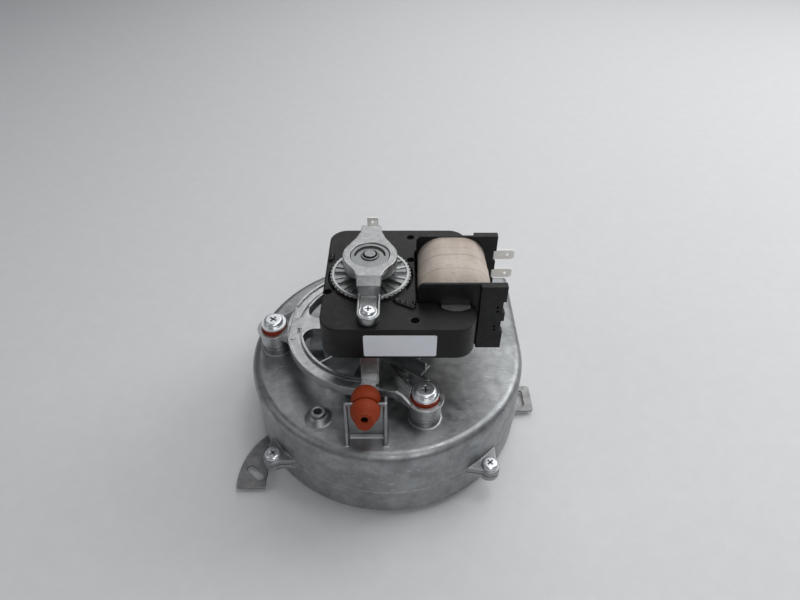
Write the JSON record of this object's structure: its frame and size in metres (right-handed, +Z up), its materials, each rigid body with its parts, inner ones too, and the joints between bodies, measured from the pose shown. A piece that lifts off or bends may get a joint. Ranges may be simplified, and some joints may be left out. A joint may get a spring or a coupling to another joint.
{
  "type": "combustion fan",
  "caption": "Boiler combustion fan: an eccentric die-cast housing with a side outlet, an impeller inside it and a shaded-pole motor on a sprung bracket above.",
  "frame": {"origin": "on the shaft axis, in the plane of the mounting plate's underside", "axes": "+Z up the shaft from the inlet to the motor, +X towards the coil, +Y the way the outlet blows"},
  "size_m": [0.1813, 0.1664, 0.1263],
  "materials": {
    "cast_shell": "die-cast, as cast and lightly tumbled",
    "cast_bracket": "die-cast, bright edges",
    "cast_bridge": "matt die-cast",
    "plate_steel": "dull zinc-coated sheet",
    "bright_steel": "zinc-plated",
    "sheet_metal": "aluminised sheet",
    "disc_metal": "stamped, satin",
    "lamination": "oiled electrical steel",
    "bronze": "sintered bronze",
    "hub_brass": "turned",
    "copper": "bare and enamelled copper",
    "tinned": "tin-plated",
    "black_plastic": "satin black",
    "bobbin_plastic": "matt black",
    "tape": "cream insulating tape",
    "label": "bare foil label",
    "nylon": "natural nylon",
    "red_silicone": "moulded silicone",
    "orange_silicone": "moulded silicone",
    "seal_felt": "felt seal",
    "gasket_fibre": "fibre gasket"
  },
  "bodies": {
    "housing": {"mounting_plate": "plate_steel", "plate_rivets": "bright_steel", "lower_housing": "cast_shell", "housing_gasket": "gasket_fibre", "upper_housing": "cast_shell", "housing_screws": "bright_steel", "shaft_seal": "seal_felt", "motor_bracket": "cast_bracket", "grommets": "red_silicone", "spacer_sleeves": "bright_steel", "bracket_screws": "bright_steel", "lower_bearing": "bronze", "lower_bearing_clip": "bright_steel", "stator_core": "lamination", "shading_rings": "copper", "motor_casing": "black_plastic", "bobbin": "bobbin_plastic", "coil_winding": "copper", "coil_tape": "tape", "terminal_tabs": "tinned", "rating_label": "label", "upper_bearing": "bronze", "upper_bearing_clip": "bright_steel", "bearing_bridge": "cast_bridge", "bridge_screws": "bright_steel", "earth_tab": "tinned", "pressure_tap": "orange_silicone"},
    "rotor": {"shaft": "bright_steel", "impeller_backplate": "sheet_metal", "impeller_blades": "sheet_metal", "impeller_ring": "sheet_metal", "impeller_hub": "hub_brass", "impeller_washer": "bright_steel", "impeller_nut": "bright_steel", "cooling_fan": "sheet_metal", "rotor_spacer": "nylon", "rotor_core": "lamination", "rotor_end_rings": "disc_metal", "cooling_disc": "disc_metal", "thrust_washer": "nylon", "shaft_clip": "bright_steel"}
  },
  "joints": [
    {"name": "rotor_spin", "type": "hinge", "parent": "housing", "child": "rotor", "pos_m": [0, 0, 0.09], "axis": [0, 0, 1], "continuous": true}
  ]
}
